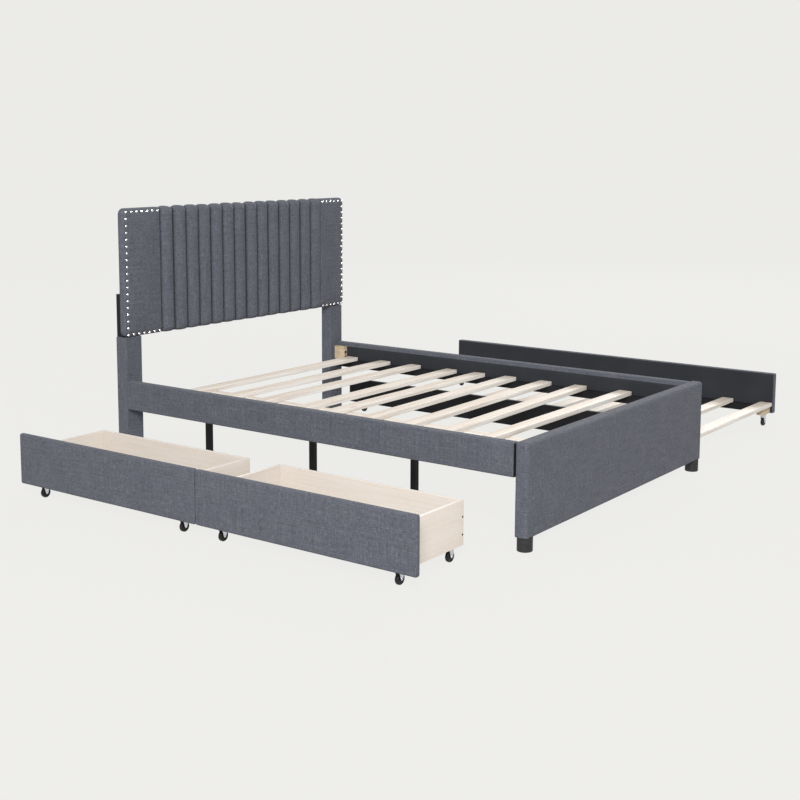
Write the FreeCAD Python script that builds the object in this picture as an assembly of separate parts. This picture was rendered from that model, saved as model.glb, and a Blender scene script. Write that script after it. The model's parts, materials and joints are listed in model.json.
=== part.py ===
"""Full-size platform bed with an upholstered channel headboard, two rolling storage
drawers on the -X side and a pull-out trundle on the +X side.

Frame: +Y towards the headboard, +X towards the trundle side, +Z up, in millimetres.
The pieces are laid out about the middle of the bed itself and moved at the end, so that
the origin lies on the floor under the middle of the whole footprint.  The drawers and
the trundle are pulled out, which is the rest position of their slides.
"""
import FreeCAD, Part
import os

# ---------------------------------------------------------------- driving dimensions
# Bed frame
RAIL_OUTER_X = 731.0         # outer face of each side rail
RAIL_THICKNESS = 36.0        # rail board with its upholstery
RAIL_HALF_LENGTH = 960.0     # rails run from the headboard legs to the footboard
RAIL_BOTTOM_Z = 259.0
RAIL_TOP_Z = 381.0
RAIL_SKIN = 2.0              # thickness of the fabric on a rail
RAIL_WRAP_DOWN = 19.0        # fabric that comes over the top edge onto the inner face

LEDGER_WIDTH = 20.0          # strips inside the rails that carry the slats
LEDGER_HALF_LENGTH = 955.0
SLAT_BOTTOM_Z = 295.0
SLAT_THICKNESS = 18.0
SLAT_WIDTH = 60.0
SLAT_HALF_LENGTH = 690.0
BED_SLAT_CENTRES_Y = (853.0, 648.0, 463.0, 251.0, 91.0, -80.0, -268.0, -448.0, -669.0)

CORNER_BLOCK_LENGTH = 62.0
CORNER_BLOCK_WIDTH = 22.0
HEAD_CORNER_BLOCK_HEIGHT = 67.0
FOOT_CORNER_BLOCK_HEIGHT = 50.0

BEAM_X = -343.0              # pine beam between the drawer bay and the trundle bay
BEAM_WIDTH = 40.0
BEAM_HEAD_Y = 950.0
SUPPORT_LEG_CENTRES_Y = (860.0, 257.0, -267.0)
SUPPORT_LEG_SIDE = 25.0
SUPPORT_PAD_HEIGHT = 3.0

# Footboard
FOOT_HALF_WIDTH = 728.0
FOOT_THICKNESS = 52.0
FOOT_BOTTOM_Z = 51.0
FOOT_TOP_Z = 386.0
FOOT_ROUNDING = 12.0
FOOT_SKIN = 4.0
FOOT_POST_X = 697.0
FOOT_POST_RADIUS = 28.0
FOOT_POST_ROUNDING = 2.0

# Headboard
LEG_INNER_X = 640.0
LEG_OUTER_X = 732.0
LEG_BACK_Y = 1020.0
LEG_TOP_Z = 568.0
LEG_SKIN = 4.0
LEG_ROUNDING = 8.0
LEG_COVER_BOTTOM_Z = 4.0
LEG_GLIDE_HEIGHT = 6.0
LEG_GLIDE_RADIUS = 20.0
UPRIGHT_TOP_Z = 750.0

PANEL_HALF_WIDTH = 740.0
PANEL_BOTTOM_Z = 569.0
PANEL_TOP_Z = 1114.0
PANEL_FRONT_Y = 951.0
BOARD_FRONT_Y = 966.0
BOARD_BACK_Y = 981.5
PANEL_SKIN = 3.0             # pad material that wraps the board's edges
PAD_ROUNDING = 8.0
BACK_CLOTH_THICKNESS = 1.5
CHANNEL_COUNT = 14
CHANNEL_LEFT_X = -527.0
CHANNEL_RIGHT_X = 553.0
CHANNEL_BULGE = 16.0

# Upholstery nails
NAIL_RADIUS = 5.5
NAIL_DOME_HEIGHT = 3.0
NAIL_SHANK_RADIUS = 0.9
NAIL_SHANK_LENGTH = 20.0
NAIL_COLUMN_X = 721.0
NAIL_LOW_Z = 579.0
NAIL_HIGH_Z = 1098.0
NAIL_COLUMN_COUNT = 19
NAIL_ROW_SPACING = 30.0
NAIL_ROW_COUNT = {"left": 7, "right": 6}

# Drawers
FRONT_BOTTOM_Z = 58.0
FRONT_TOP_Z = 257.0
DRAWER_FRONT_X = -1297.0     # outer face of both drawer fronts, pulled out
DRAWER_FRONT_THICKNESS = 20.0
DRAWER_FRONT_NEAR_Y = 2.0    # edge beside the other drawer
DRAWER_FRONT_FAR_Y = 954.0   # edge beside the headboard leg or the footboard
DRAWER_BOX_BACK_X = -929.0
DRAWER_BOX_NEAR_Y = 74.0
DRAWER_BOX_FAR_Y = 886.0
BOX_BOTTOM_Z = 60.0
BOX_TOP_Z = 216.0
PLY_THICKNESS = 12.0
BOX_FLOOR_THICKNESS = 5.0
BOX_FLOOR_REBATE = 6.0
FRONT_SKIN = 2.0
FRONT_CORNER_RADIUS = 8.0
FRONT_EDGE_RADIUS = 5.0
SCREW_HEIGHTS_Z = (97.0, 158.0)

# Trundle
TRUNDLE_PANEL_X = 1836.0     # outer face of the trundle's upholstered panel, pulled out
TRUNDLE_PANEL_THICKNESS = 32.0
TRUNDLE_PANEL_FOOT_Y = -931.0
TRUNDLE_PANEL_HEAD_Y = 950.0     # the panel sits nearer the headboard than the footboard
TRUNDLE_REAR_X = 782.0
TRUNDLE_REAR_THICKNESS = 18.0
TRUNDLE_REAR_TOP_Z = 178.0
TRUNDLE_LEDGER_TOP_Z = 95.0
TRUNDLE_SLAT_COUNT = 10
TRUNDLE_SLAT_PITCH = 199.6
TRUNDLE_SLAT_END_GAP = 10.0
TRUNDLE_BLOCK_OUTER_Y = 916.0
TRUNDLE_BLOCK_WIDTH = 34.0
TRUNDLE_BLOCK_LENGTH = 90.0

# Casters
WHEEL_RADIUS = 20.0
WHEEL_WIDTH = 14.0
WHEEL_BORE_RADIUS = 3.05
AXLE_RADIUS = 3.0
CHEEK_THICKNESS = 1.5
CHEEK_GAP = 1.0              # between a wheel's side and the fork
CHEEK_TOP_SHARE = 0.85       # width of a cheek's top as a share of the plate's length
CROWN_GAP = 2.5              # between the top of a wheel and the fork's crown
CASTER_PLATE_LENGTH = 40.0
CASTER_PLATE_WIDTH = 26.0
CASTER_PLATE_THICKNESS = 2.0
DRAWER_CASTERS_X = (-1238.0, -955.0)
DRAWER_CASTER_INSET_Y = 22.0
DRAWER_CASTER_OFFSET_Y = 16.0    # both drawers' casters sit this much nearer the headboard
TRUNDLE_CASTER_INSET_X = 42.0

# Bolts
BOLT_RADIUS = 4.0
BOLT_HEAD_RADIUS = 8.0
BOLT_HEAD_HEIGHT = 4.0
CORNER_BOLT_HEIGHTS_Z = (307.0, 333.0)
CORNER_BOLT_REACH_Y = 990.0
HEAD_BOLT_HEIGHTS_Z = (620.0, 700.0)
HEAD_BOLT_TIP_Y = 972.0
TRUNDLE_BOLT_RADIUS = 3.0
TRUNDLE_BOLT_REACH = 66.0    # from the board's inner face to the barrel nut's axis
BARREL_NUT_RADIUS = 6.0
BARREL_NUT_LENGTH = 18.0
BARREL_NUT_RECESS = 3.0
SCREW_RADIUS = 2.0
SCREW_LENGTH = 38.0
SCREW_HEAD_RADIUS = 4.0
SCREW_HEAD_HEIGHT = 3.0

X_AXIS = FreeCAD.Vector(1, 0, 0)
Y_AXIS = FreeCAD.Vector(0, 1, 0)
Z_AXIS = FreeCAD.Vector(0, 0, 1)
BED_MIDDLE = FreeCAD.Vector(0, 0, 0)
SIDES = {"left": -1, "right": 1}

# Middle of the whole footprint, which the finished part has as its origin
FOOTPRINT_MIDDLE = FreeCAD.Vector(
    (DRAWER_FRONT_X + TRUNDLE_PANEL_X) / 2,
    (LEG_BACK_Y - RAIL_HALF_LENGTH - FOOT_THICKNESS) / 2,
    0,
)


# ---------------------------------------------------------------- helpers
def box(x_range, y_range, z_range):
    """A box between the given limits, which may come in either order."""
    low = FreeCAD.Vector(min(x_range), min(y_range), min(z_range))
    high = FreeCAD.Vector(max(x_range), max(y_range), max(z_range))
    size = high - low
    return Part.makeBox(size.x, size.y, size.z, low)


def rod(radius, start, direction, length):
    """A cylinder from a start point along a direction."""
    return Part.makeCylinder(radius, length, FreeCAD.Vector(*start), direction)


def edges_along(shape, axis):
    """The straight edges of a shape that run parallel to an axis."""
    found = []
    for edge in shape.Edges:
        step = edge.Vertexes[-1].Point - edge.Vertexes[0].Point
        if step.cross(axis).Length < 1e-6:
            found.append(edge)
    return found


def face_towards(shape, direction):
    """The flat face that lies furthest in a direction."""
    return max(shape.Faces, key=lambda face: face.CenterOfMass.dot(direction))


def mirrored_x(shape):
    """The same shape on the other side of the bed's long centre plane."""
    return shape.mirror(BED_MIDDLE, X_AXIS)


def mirrored_y(shape):
    """The same shape at the other end of the bed."""
    return shape.mirror(BED_MIDDLE, Y_AXIS)


def group(shapes):
    """Separate solids that share one node."""
    solids = []
    for shape in shapes:
        solids.extend(shape.Solids)
    return Part.makeCompound(solids)


def cut_all(shape, tools):
    """A shape with every tool cut out of it."""
    return shape.cut(Part.makeCompound(tools))


def inset(limits, amount):
    """A range made smaller by the same amount at both ends."""
    return (min(limits) + amount, max(limits) - amount)


# ---------------------------------------------------------------- side rails
def rail_outline(skin):
    """The -X rail's section limits, moved in from its outer surface by a skin thickness."""
    x_range = (-RAIL_OUTER_X, -RAIL_OUTER_X + RAIL_THICKNESS)
    z_range = (RAIL_BOTTOM_Z, RAIL_TOP_Z)
    return inset(x_range, skin), inset(z_range, skin)


def rail_board():
    x_range, z_range = rail_outline(RAIL_SKIN)
    return box(x_range, (-RAIL_HALF_LENGTH, RAIL_HALF_LENGTH), z_range)


def rail_lining():
    """Black cloth on the rail's inner face, below the turned-over upholstery."""
    inner_x = -RAIL_OUTER_X + RAIL_THICKNESS
    return box(
        (inner_x - RAIL_SKIN, inner_x),
        (-RAIL_HALF_LENGTH, RAIL_HALF_LENGTH),
        (RAIL_BOTTOM_Z + RAIL_SKIN, RAIL_TOP_Z - RAIL_WRAP_DOWN),
    )


def rail_cover():
    """Upholstery round the rail, with softened long edges."""
    x_range, z_range = rail_outline(0.0)
    outside = box(x_range, (-RAIL_HALF_LENGTH, RAIL_HALF_LENGTH), z_range)
    outside = outside.makeFillet(2.5 * RAIL_SKIN, edges_along(outside, Y_AXIS))
    return outside.cut(rail_board()).cut(rail_lining())


def ledger():
    """Strip on the inside of the -X rail that the slats rest on."""
    inner_x = -RAIL_OUTER_X + RAIL_THICKNESS
    return box(
        (inner_x, inner_x + LEDGER_WIDTH),
        (-LEDGER_HALF_LENGTH, LEDGER_HALF_LENGTH),
        (RAIL_BOTTOM_Z, SLAT_BOTTOM_Z),
    )


# ---------------------------------------------------------------- corner joints
def corner_block(height):
    """Block on the -X rail, bolted to the headboard leg; its mirror image holds the footboard."""
    inner_x = -RAIL_OUTER_X + RAIL_THICKNESS
    return box(
        (inner_x, inner_x + CORNER_BLOCK_WIDTH),
        (RAIL_HALF_LENGTH - CORNER_BLOCK_LENGTH, RAIL_HALF_LENGTH),
        (SLAT_BOTTOM_Z, SLAT_BOTTOM_Z + height),
    )


def corner_bolts():
    """Two bolts through the -X head corner block into the leg, with their heads let in flush."""
    x = -RAIL_OUTER_X + RAIL_THICKNESS + CORNER_BLOCK_WIDTH / 2
    head_y = RAIL_HALF_LENGTH - CORNER_BLOCK_LENGTH
    bolts = []
    for z in CORNER_BOLT_HEIGHTS_Z:
        shank = rod(BOLT_RADIUS, (x, head_y, z), Y_AXIS, CORNER_BOLT_REACH_Y - head_y)
        head = rod(BOLT_HEAD_RADIUS, (x, head_y, z), Y_AXIS, BOLT_HEAD_HEIGHT)
        bolts.append(shank.fuse(head).removeSplitter())
    return bolts


def headboard_bolts():
    """Two bolts from behind, through the -X upright into the headboard."""
    x = -(LEG_INNER_X + LEG_OUTER_X) / 2
    back_y = LEG_BACK_Y - LEG_SKIN
    bolts = []
    for z in HEAD_BOLT_HEIGHTS_Z:
        shank = rod(BOLT_RADIUS, (x, back_y, z), -Y_AXIS, back_y - HEAD_BOLT_TIP_Y)
        head = rod(BOLT_HEAD_RADIUS, (x, back_y, z), Y_AXIS, BOLT_HEAD_HEIGHT)
        bolts.append(shank.fuse(head).removeSplitter())
    return bolts


def all_frame_bolts():
    """Every bolt of the frame: four corner joints and two headboard uprights."""
    head_end = corner_bolts()
    foot_end = [mirrored_y(bolt) for bolt in head_end]
    left = head_end + foot_end + headboard_bolts()
    return left + [mirrored_x(bolt) for bolt in left]


# ---------------------------------------------------------------- slats and their supports
def slat(y):
    return box(
        (-SLAT_HALF_LENGTH, SLAT_HALF_LENGTH),
        (y - SLAT_WIDTH / 2, y + SLAT_WIDTH / 2),
        (SLAT_BOTTOM_Z, SLAT_BOTTOM_Z + SLAT_THICKNESS),
    )


def centre_beam():
    return box(
        (BEAM_X - BEAM_WIDTH / 2, BEAM_X + BEAM_WIDTH / 2),
        (-RAIL_HALF_LENGTH, BEAM_HEAD_Y),
        (RAIL_BOTTOM_Z, SLAT_BOTTOM_Z),
    )


def support_leg(y):
    half = SUPPORT_LEG_SIDE / 2
    post = box((BEAM_X - half, BEAM_X + half), (y - half, y + half), (SUPPORT_PAD_HEIGHT, RAIL_BOTTOM_Z))
    return post.makeChamfer(1.5, edges_along(post, Z_AXIS))


def support_pad(y):
    """Plastic pad under a support leg, a little smaller than the leg."""
    half = SUPPORT_LEG_SIDE / 2 - 1.0
    return box((BEAM_X - half, BEAM_X + half), (y - half, y + half), (0.0, SUPPORT_PAD_HEIGHT))


def leg_glide():
    """Plastic glide under the -X headboard leg."""
    centre = (-(LEG_INNER_X + LEG_OUTER_X) / 2, (RAIL_HALF_LENGTH + LEG_BACK_Y) / 2, 0.0)
    return rod(LEG_GLIDE_RADIUS, centre, Z_AXIS, LEG_GLIDE_HEIGHT)


# ---------------------------------------------------------------- footboard
def foot_solid(skin, bottom_z):
    """The footboard's rounded outline, moved in from its surface by a skin thickness."""
    back_y = -RAIL_HALF_LENGTH - FOOT_THICKNESS
    solid = box(
        inset((-FOOT_HALF_WIDTH, FOOT_HALF_WIDTH), skin),
        inset((back_y, -RAIL_HALF_LENGTH), skin),
        (bottom_z, FOOT_TOP_Z - skin),
    )
    rounding = FOOT_ROUNDING - skin
    kept = [edge for edge in solid.Edges if edge.BoundBox.ZMax > bottom_z + 1.0]
    return solid.makeFillet(rounding, kept)


def footboard_board():
    return foot_solid(FOOT_SKIN, FOOT_BOTTOM_Z)


def footboard_cover():
    return foot_solid(0.0, FOOT_BOTTOM_Z).cut(footboard_board())


def foot_post(x):
    """Round post under the footboard, rounded where it meets the floor."""
    y = -RAIL_HALF_LENGTH - FOOT_THICKNESS / 2
    post = rod(FOOT_POST_RADIUS, (x, y, 0.0), Z_AXIS, FOOT_BOTTOM_Z)
    bottom = face_towards(post, -Z_AXIS)
    return post.makeFillet(FOOT_POST_ROUNDING, bottom.Edges)


# ---------------------------------------------------------------- headboard legs
def leg_post():
    """Core of the -X headboard leg, with the upright that carries the headboard."""
    x_range = inset((-LEG_OUTER_X, -LEG_INNER_X), LEG_SKIN)
    back_y = LEG_BACK_Y - LEG_SKIN
    upright_front = BOARD_BACK_Y + BACK_CLOTH_THICKNESS
    lower = box(x_range, (RAIL_HALF_LENGTH + LEG_SKIN, back_y), (LEG_GLIDE_HEIGHT, LEG_TOP_Z))
    upper = box(x_range, (upright_front, back_y), (LEG_TOP_Z, UPRIGHT_TOP_Z))
    return lower.fuse(upper).removeSplitter()


def leg_cover():
    """Upholstery sleeve round the lower part of the -X leg, open at the top and bottom."""
    x_range = (-LEG_OUTER_X, -LEG_INNER_X)
    y_range = (RAIL_HALF_LENGTH, LEG_BACK_Y)
    outside = box(x_range, y_range, (LEG_COVER_BOTTOM_Z, LEG_TOP_Z))
    outside = outside.makeFillet(LEG_ROUNDING, edges_along(outside, Z_AXIS))
    inside = box(inset(x_range, LEG_SKIN), inset(y_range, LEG_SKIN), (0.0, LEG_TOP_Z))
    return outside.cut(inside)


# ---------------------------------------------------------------- headboard panel
def headboard_board():
    x_limit = PANEL_HALF_WIDTH - PANEL_SKIN
    z_range = inset((PANEL_BOTTOM_Z, PANEL_TOP_Z), PANEL_SKIN)
    return box((-x_limit, x_limit), (BOARD_FRONT_Y, BOARD_BACK_Y), z_range)


def headboard_back_cloth():
    x_limit = PANEL_HALF_WIDTH - PANEL_SKIN
    z_range = inset((PANEL_BOTTOM_Z, PANEL_TOP_Z), PANEL_SKIN)
    return box((-x_limit, x_limit), (BOARD_BACK_Y, BOARD_BACK_Y + BACK_CLOTH_THICKNESS), z_range)


def channel_cushion():
    """Fluted padding: one round-fronted channel after another, wrapped over the board."""
    pitch = (CHANNEL_RIGHT_X - CHANNEL_LEFT_X) / CHANNEL_COUNT
    edges = []
    for number in range(CHANNEL_COUNT):
        left = CHANNEL_LEFT_X + number * pitch
        start = FreeCAD.Vector(left, PANEL_FRONT_Y, PANEL_BOTTOM_Z)
        crest = FreeCAD.Vector(left + pitch / 2, PANEL_FRONT_Y - CHANNEL_BULGE, PANEL_BOTTOM_Z)
        end = FreeCAD.Vector(left + pitch, PANEL_FRONT_Y, PANEL_BOTTOM_Z)
        edges.append(Part.Arc(start, crest, end).toShape())
    back_right = FreeCAD.Vector(CHANNEL_RIGHT_X, BOARD_BACK_Y, PANEL_BOTTOM_Z)
    back_left = FreeCAD.Vector(CHANNEL_LEFT_X, BOARD_BACK_Y, PANEL_BOTTOM_Z)
    corners = [edges[-1].Vertexes[-1].Point, back_right, back_left, edges[0].Vertexes[0].Point]
    for start, end in zip(corners, corners[1:]):
        edges.append(Part.makeLine(start, end))
    profile = Part.Face(Part.Wire(Part.__sortEdges__(edges)))
    cushion = profile.extrude(Z_AXIS * (PANEL_TOP_Z - PANEL_BOTTOM_Z))
    return cushion.cut(headboard_board())


def side_pad(side):
    """Flat pad beside the channels, wrapped over the board's outer edges."""
    inner_x = {"left": CHANNEL_LEFT_X, "right": CHANNEL_RIGHT_X}[side]
    outer_x = SIDES[side] * PANEL_HALF_WIDTH
    pad = box((inner_x, outer_x), (PANEL_FRONT_Y, BOARD_BACK_Y), (PANEL_BOTTOM_Z, PANEL_TOP_Z))
    rounded = []
    for edge in pad.Edges:
        centre = edge.CenterOfMass
        at_seam = abs(centre.x - inner_x) < 1.0
        at_back = abs(centre.y - BOARD_BACK_Y) < 1.0
        if not at_seam and not at_back:
            rounded.append(edge)
    return pad.makeFillet(PAD_ROUNDING, rounded).cut(headboard_board())


def nail_places(side):
    """X and Z of each nail on one side pad: a column and a row at its top and bottom."""
    x = SIDES[side] * NAIL_COLUMN_X
    spacing = (NAIL_HIGH_Z - NAIL_LOW_Z) / (NAIL_COLUMN_COUNT - 1)
    places = [(x, NAIL_LOW_Z + number * spacing) for number in range(NAIL_COLUMN_COUNT)]
    for number in range(1, NAIL_ROW_COUNT[side]):
        row_x = x - SIDES[side] * number * NAIL_ROW_SPACING
        places.append((row_x, NAIL_LOW_Z))
        places.append((row_x, NAIL_HIGH_Z))
    return places


def nail(x, z):
    """Domed upholstery nail with its shank driven into the headboard."""
    sphere_radius = (NAIL_RADIUS**2 + NAIL_DOME_HEIGHT**2) / (2 * NAIL_DOME_HEIGHT)
    centre_y = PANEL_FRONT_Y - NAIL_DOME_HEIGHT + sphere_radius
    ball = Part.makeSphere(sphere_radius, FreeCAD.Vector(x, centre_y, z))
    keep = rod(NAIL_RADIUS + 1.0, (x, PANEL_FRONT_Y, z), -Y_AXIS, NAIL_DOME_HEIGHT + 1.0)
    return ball.common(keep).fuse(nail_shank(x, z))


def nail_shank(x, z):
    return rod(NAIL_SHANK_RADIUS, (x, PANEL_FRONT_Y, z), Y_AXIS, NAIL_SHANK_LENGTH)


# ---------------------------------------------------------------- upholstered fronts
def soft_plate(outer_x, inner_x, y_range, z_range, skin):
    """A plate facing along X with rounded corners and a softened outer face.

    The skin thickness moves every side except the flat inner one in from the surface.
    """
    facing = X_AXIS if outer_x > inner_x else -X_AXIS
    face_x = outer_x - facing.x * skin
    plate = box((face_x, inner_x), inset(y_range, skin), inset(z_range, skin))
    plate = plate.makeFillet(FRONT_CORNER_RADIUS - skin, edges_along(plate, X_AXIS))
    outer_edges = face_towards(plate, facing).Edges
    return plate.makeFillet(FRONT_EDGE_RADIUS - skin, outer_edges)


# ---------------------------------------------------------------- casters
def caster_fork(x, y):
    """Fixed caster fork: top plate, crown, two tapering cheeks and the riveted axle."""
    plate_top = BOX_BOTTOM_Z
    plate_bottom = plate_top - CASTER_PLATE_THICKNESS
    half_length = CASTER_PLATE_LENGTH / 2
    fork = box(
        (x - half_length, x + half_length),
        (y - CASTER_PLATE_WIDTH / 2, y + CASTER_PLATE_WIDTH / 2),
        (plate_bottom, plate_top),
    )
    cheek_inner = WHEEL_WIDTH / 2 + CHEEK_GAP
    tip = AXLE_RADIUS + 3.0
    top_half = half_length * CHEEK_TOP_SHARE
    outline = [
        FreeCAD.Vector(x - top_half, 0, plate_bottom),
        FreeCAD.Vector(x + top_half, 0, plate_bottom),
        FreeCAD.Vector(x + tip, 0, WHEEL_RADIUS),
        FreeCAD.Vector(x + tip * 0.6, 0, WHEEL_RADIUS - tip * 0.8),
        FreeCAD.Vector(x - tip * 0.6, 0, WHEEL_RADIUS - tip * 0.8),
        FreeCAD.Vector(x - tip, 0, WHEEL_RADIUS),
    ]
    cheek = Part.Face(Part.makePolygon(outline + outline[:1])).extrude(Y_AXIS * CHEEK_THICKNESS)
    for start_y in (y + cheek_inner, y - cheek_inner - CHEEK_THICKNESS):
        placed = cheek.translated(FreeCAD.Vector(0, start_y, 0))
        fork = fork.fuse(placed)
    crown = box(
        (x - tip, x + tip),
        (y - cheek_inner, y + cheek_inner),
        (2 * WHEEL_RADIUS + CROWN_GAP, plate_bottom),
    )
    fork = fork.fuse(crown)
    axle_half = cheek_inner + CHEEK_THICKNESS + 1.5
    axle = rod(AXLE_RADIUS, (x, y - axle_half, WHEEL_RADIUS), Y_AXIS, 2 * axle_half)
    return fork.fuse(axle).removeSplitter()


def caster_wheel(x, y):
    """Wheel with a rounded tread and a hub that stands a little proud of dished sides."""
    half = WHEEL_WIDTH / 2
    rounding = 4.0
    dish = 2.0
    hub_radius = 7.0
    rim_radius = WHEEL_RADIUS - rounding - 1.5
    tyre = rod(WHEEL_RADIUS, (x, y - half, WHEEL_RADIUS), Y_AXIS, WHEEL_WIDTH)
    rims = [edge for edge in tyre.Edges if abs(edge.CenterOfMass.y - y) > 1.0]
    tyre = tyre.makeFillet(rounding, rims)
    tools = [rod(WHEEL_BORE_RADIUS, (x, y - half - 1.0, WHEEL_RADIUS), Y_AXIS, WHEEL_WIDTH + 2.0)]
    for start_y in (y - half, y + half - dish):
        disc = rod(rim_radius, (x, start_y, WHEEL_RADIUS), Y_AXIS, dish)
        hub = rod(hub_radius, (x, start_y, WHEEL_RADIUS), Y_AXIS, dish)
        tools.append(disc.cut(hub))
    return cut_all(tyre, tools)


# ---------------------------------------------------------------- drawers
def screw(start, direction):
    """A wood screw whose flat head lies flush with the surface it starts from."""
    x, y, z = start
    head = rod(SCREW_HEAD_RADIUS, (x, y, z), direction, SCREW_HEAD_HEIGHT)
    shank = rod(SCREW_RADIUS, (x, y, z), direction, SCREW_LENGTH)
    return head.fuse(shank).removeSplitter()


def drawer_screws():
    """Screws of the head-end drawer: into the back's ends, and through the front board."""
    screws = []
    back_middle_x = DRAWER_BOX_BACK_X - PLY_THICKNESS / 2
    board_face_x = DRAWER_FRONT_X + FRONT_SKIN
    for z in SCREW_HEIGHTS_Z:
        screws.append(screw((back_middle_x, DRAWER_BOX_NEAR_Y, z), Y_AXIS))
        screws.append(screw((back_middle_x, DRAWER_BOX_FAR_Y, z), -Y_AXIS))
        screws.append(screw((board_face_x, DRAWER_BOX_NEAR_Y + PLY_THICKNESS / 2, z), X_AXIS))
        screws.append(screw((board_face_x, DRAWER_BOX_FAR_Y - PLY_THICKNESS / 2, z), X_AXIS))
    return screws


def drawer_parts():
    """Every piece of the head-end drawer, by the last part of its node's name."""
    back_of_front = DRAWER_FRONT_X + DRAWER_FRONT_THICKNESS
    front_y = (DRAWER_FRONT_NEAR_Y, DRAWER_FRONT_FAR_Y)
    front_z = (FRONT_BOTTOM_Z, FRONT_TOP_Z)
    screws = drawer_screws()
    board = soft_plate(DRAWER_FRONT_X, back_of_front, front_y, front_z, FRONT_SKIN)
    cover = soft_plate(DRAWER_FRONT_X, back_of_front, front_y, front_z, 0.0).cut(board)

    box_x = (back_of_front, DRAWER_BOX_BACK_X)
    box_z = (BOX_BOTTOM_Z, BOX_TOP_Z)
    near_side = box(box_x, (DRAWER_BOX_NEAR_Y, DRAWER_BOX_NEAR_Y + PLY_THICKNESS), box_z)
    far_side = box(box_x, (DRAWER_BOX_FAR_Y - PLY_THICKNESS, DRAWER_BOX_FAR_Y), box_z)
    back = box(
        (DRAWER_BOX_BACK_X - PLY_THICKNESS, DRAWER_BOX_BACK_X),
        inset((DRAWER_BOX_NEAR_Y, DRAWER_BOX_FAR_Y), PLY_THICKNESS),
        box_z,
    )
    floor = box(
        (back_of_front, DRAWER_BOX_BACK_X - PLY_THICKNESS + BOX_FLOOR_REBATE),
        inset((DRAWER_BOX_NEAR_Y, DRAWER_BOX_FAR_Y), PLY_THICKNESS - BOX_FLOOR_REBATE),
        (BOX_BOTTOM_Z, BOX_BOTTOM_Z + BOX_FLOOR_THICKNESS),
    )
    cutters = screws + [floor]
    return {
        "front_board": cut_all(board, screws),
        "front_cover": cover,
        "side_near": cut_all(near_side, cutters),
        "side_far": cut_all(far_side, cutters),
        "back": cut_all(back, cutters),
        "floor": floor,
        "screws": group(screws),
    }


def drawer_caster_places():
    """X and Y of the head-end drawer's four casters before their offset, by name."""
    places = {}
    for depth, x in zip(("front", "rear"), DRAWER_CASTERS_X):
        places[f"{depth}_near"] = (x, DRAWER_BOX_NEAR_Y + DRAWER_CASTER_INSET_Y)
        places[f"{depth}_far"] = (x, DRAWER_BOX_FAR_Y - DRAWER_CASTER_INSET_Y)
    return places


# ---------------------------------------------------------------- trundle
def trundle_slat(number):
    y = (number - (TRUNDLE_SLAT_COUNT - 1) / 2) * TRUNDLE_SLAT_PITCH
    start_x = TRUNDLE_REAR_X + TRUNDLE_REAR_THICKNESS
    end_x = TRUNDLE_PANEL_X - TRUNDLE_PANEL_THICKNESS - TRUNDLE_SLAT_END_GAP
    return box(
        (start_x, end_x),
        (y - SLAT_WIDTH / 2, y + SLAT_WIDTH / 2),
        (TRUNDLE_LEDGER_TOP_Z, TRUNDLE_LEDGER_TOP_Z + SLAT_THICKNESS),
    )


def trundle_corner(at_panel):
    """Corner block, bolt and barrel nut at the trundle's +Y end, by the panel or the rear board."""
    panel_face = TRUNDLE_PANEL_X - TRUNDLE_PANEL_THICKNESS
    rear_face = TRUNDLE_REAR_X + TRUNDLE_REAR_THICKNESS
    face_x = panel_face if at_panel else rear_face
    inward = -1 if at_panel else 1
    inner_y = TRUNDLE_BLOCK_OUTER_Y - TRUNDLE_BLOCK_WIDTH
    middle_y = TRUNDLE_BLOCK_OUTER_Y - TRUNDLE_BLOCK_WIDTH / 2
    middle_z = (BOX_BOTTOM_Z + TRUNDLE_LEDGER_TOP_Z) / 2
    block = box(
        (face_x, face_x + inward * TRUNDLE_BLOCK_LENGTH),
        (inner_y, TRUNDLE_BLOCK_OUTER_Y),
        (BOX_BOTTOM_Z, TRUNDLE_LEDGER_TOP_Z),
    )
    nut_x = face_x + inward * TRUNDLE_BOLT_REACH
    nut_mouth_y = TRUNDLE_BLOCK_OUTER_Y - BARREL_NUT_RECESS
    nut = rod(BARREL_NUT_RADIUS, (nut_x, nut_mouth_y, middle_z), -Y_AXIS, BARREL_NUT_LENGTH)
    nut_hole_length = BARREL_NUT_LENGTH + BARREL_NUT_RECESS
    nut_hole = rod(
        BARREL_NUT_RADIUS, (nut_x, TRUNDLE_BLOCK_OUTER_Y, middle_z), -Y_AXIS, nut_hole_length
    )
    board_thickness = TRUNDLE_REAR_THICKNESS
    if at_panel:
        board_thickness = TRUNDLE_PANEL_THICKNESS - FRONT_SKIN
    outer_x = face_x - inward * board_thickness
    outward = X_AXIS * inward
    head = rod(BOLT_HEAD_RADIUS, (outer_x, middle_y, middle_z), outward, BOLT_HEAD_HEIGHT)
    shank_length = board_thickness + TRUNDLE_BOLT_REACH
    shank = rod(TRUNDLE_BOLT_RADIUS, (outer_x, middle_y, middle_z), outward, shank_length)
    bolt = head.fuse(shank).removeSplitter()
    return {
        "block": cut_all(block, [bolt, nut_hole]),
        "bolt": bolt,
        "nut": nut.cut(bolt),
    }


def trundle_corners():
    """The four corners of the trundle."""
    corners = [trundle_corner(at_panel) for at_panel in (True, False)]
    far_end = []
    for corner in corners:
        far_end.append({name: mirrored_y(shape) for name, shape in corner.items()})
    return corners + far_end


def trundle_ledger(start_x):
    half_length = TRUNDLE_BLOCK_OUTER_Y - TRUNDLE_BLOCK_WIDTH
    return box(
        (start_x, start_x + LEDGER_WIDTH),
        (-half_length, half_length),
        (BOX_BOTTOM_Z, TRUNDLE_LEDGER_TOP_Z),
    )


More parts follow.
